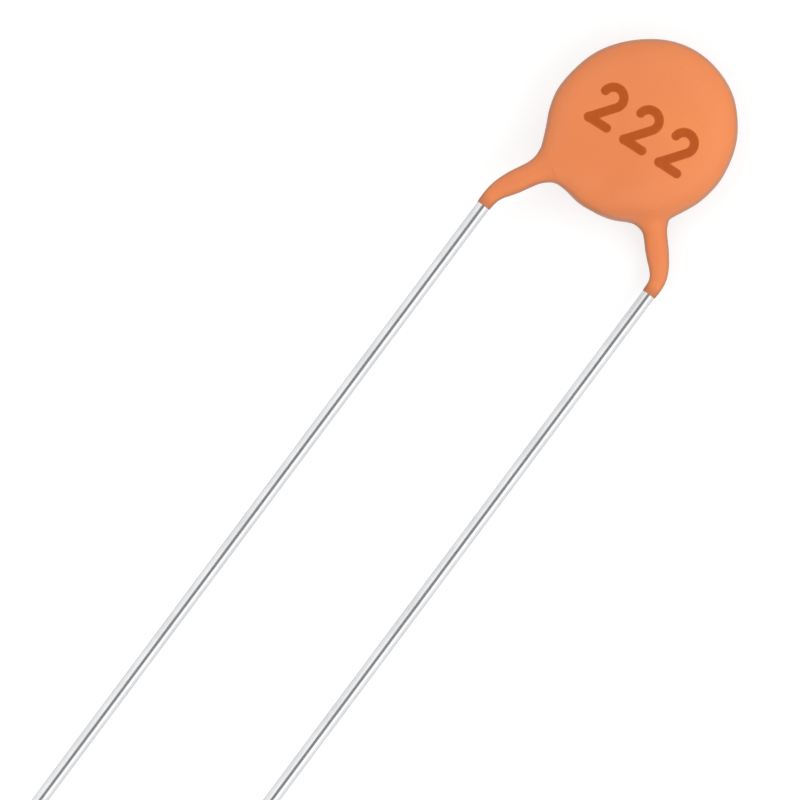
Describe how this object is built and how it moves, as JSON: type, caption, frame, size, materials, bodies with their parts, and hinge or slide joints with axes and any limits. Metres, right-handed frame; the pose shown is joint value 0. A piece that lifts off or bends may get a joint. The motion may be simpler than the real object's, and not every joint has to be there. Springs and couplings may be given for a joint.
{
  "type": "ceramic disc capacitor",
  "caption": "Radial ceramic disc capacitor: a round dipped orange body whose coating runs down over the bent roots of long straight tinned wire leads.",
  "frame": {"origin": "middle of the whole part seen from above, at the surface it lies on", "axes": "+Z out of the marked front face, +Y from the lead tips towards the body, +X across the leads towards the back lead"},
  "size_m": [0.0083, 0.0409, 0.0026],
  "materials": {
    "coating": "satin dipped phenolic resin",
    "tinned_wire": "bright tinned copper-clad steel wire",
    "ceramic": "sintered barium titanate, matt",
    "silver": "fired silver film, matt",
    "solder": "bright solder"
  },
  "bodies": {
    "root": {"coating": "coating", "front_lead": "tinned_wire", "back_lead": "tinned_wire", "ceramic_disc": "ceramic", "front_electrode": "silver", "back_electrode": "silver", "front_solder": "solder", "back_solder": "solder"}
  },
  "joints": []
}
